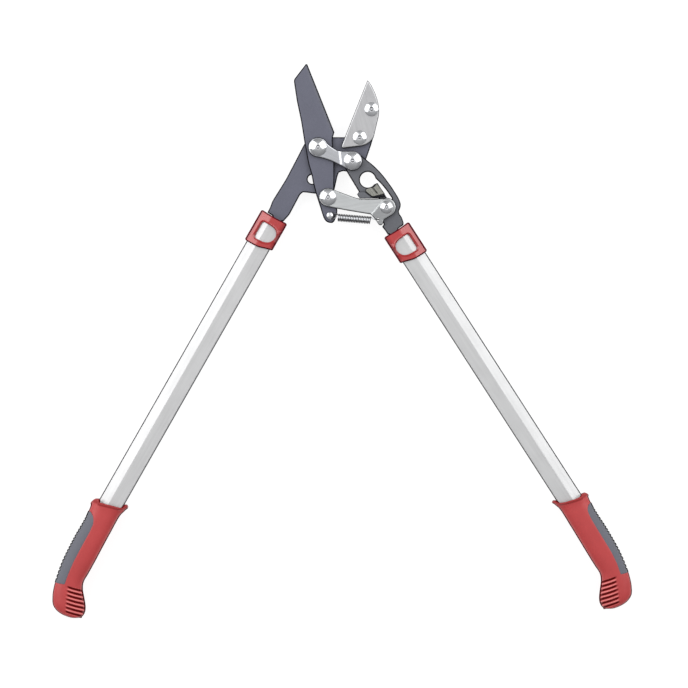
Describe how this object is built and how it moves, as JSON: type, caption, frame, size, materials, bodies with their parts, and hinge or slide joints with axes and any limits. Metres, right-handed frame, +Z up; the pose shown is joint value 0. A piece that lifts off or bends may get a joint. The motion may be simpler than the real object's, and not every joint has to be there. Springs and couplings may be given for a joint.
{
  "type": "anvil lopper",
  "caption": "Two-handed anvil lopper with a compound linkage: a coated blade closes on a flat anvil plate, with bevelled aluminium handles and soft-padded red grips.",
  "frame": {"origin": "centre of the footprint on the surface that the tool lies on, fully open", "axes": "+Z up out of the surface, towards the pivot bolt heads; +Y from the grips to the blade tip; +X across, towards the drive handle"},
  "size_m": [0.7247, 0.6924, 0.034],
  "materials": {
    "coated_steel": "dark grey non-stick coating, satin",
    "lever_steel": "dark grey coating, satin",
    "anvil_steel": "satin, light grey",
    "bright_steel": "bright plated, lightly brushed",
    "fastener_steel": "polished plated domes",
    "bronze": "plain bearing bronze",
    "bumper_rubber": "pale grey elastomer, matte",
    "spring_steel": "bright drawn wire",
    "tube_aluminium": "satin anodised, fine lengthwise grain",
    "liner_plastic": "black moulded liner",
    "red_plastic": "red moulded plastic, satin gloss",
    "grey_pad": "soft grey over-moulding, matte"
  },
  "bodies": {
    "anvil_side": {"anvil_lever": "coated_steel", "anvil_plate": "anvil_steel", "anvil_screws": "fastener_steel", "pivot_strap": "bright_steel", "blade_pivot_bolt": "fastener_steel", "blade_pivot_nut": "fastener_steel", "lever_pivot_bolt": "fastener_steel", "lever_pivot_nut": "fastener_steel", "rear_washers": "fastener_steel", "spacer_washers": "bronze", "front_washers": "bronze", "left_tube": "tube_aluminium", "left_tube_insert": "liner_plastic", "left_tang_pins": "fastener_steel", "left_ferrule": "red_plastic", "left_grip": "red_plastic", "left_grip_pad": "grey_pad"},
    "blade": {"blade": "coated_steel", "blade_bush": "bronze", "blade_link_bolt": "fastener_steel", "link_spacer": "bronze", "spring_pin": "fastener_steel"},
    "drive_side": {"drive_lever": "lever_steel", "lever_bush": "bronze", "stop_bumper": "bumper_rubber", "lever_link_bolt": "fastener_steel", "lever_link_nut": "fastener_steel", "link_washers": "fastener_steel", "right_tube": "tube_aluminium", "right_tube_insert": "liner_plastic", "right_tang_pins": "fastener_steel", "right_ferrule": "red_plastic", "right_grip": "red_plastic", "right_grip_pad": "grey_pad"},
    "drive_link": {"drive_link": "bright_steel"},
    "opening_spring": {"opening_spring": "spring_steel"}
  },
  "joints": [
    {"name": "lever_pivot", "type": "hinge", "parent": "anvil_side", "child": "drive_side", "pos_m": [0.01305, 0.22505, 0.017], "axis": [0, 0, -1], "range_deg": [0, 45.8], "stiffness_Nm_per_rad": 0.3, "springref_deg": -45.84},
    {"name": "blade_pivot", "type": "hinge", "parent": "anvil_side", "child": "blade", "pos_m": [-0.02995, 0.24205, 0.017], "axis": [0, 0, -1], "range_deg": [0, 43.4]},
    {"name": "link_pivot", "type": "hinge", "parent": "drive_side", "child": "drive_link", "pos_m": [0.05555, 0.16705, 0.017], "axis": [0, 0, 1], "range_deg": [0, 27.8]},
    {"name": "spring_stretch", "type": "slide", "parent": "drive_link", "child": "opening_spring", "axis": [-0.9966, 0.0828, 0], "range_m": [0, 0.0092], "deforming": ["opening_spring"]}
  ],
  "couplings": [
    {"joint": "blade_pivot", "follows": "lever_pivot", "ratio": 0.94541},
    {"joint": "link_pivot", "follows": "lever_pivot", "ratio": 0.605},
    {"joint": "spring_stretch", "follows": "lever_pivot", "m_per_rad": 0.011335}
  ]
}
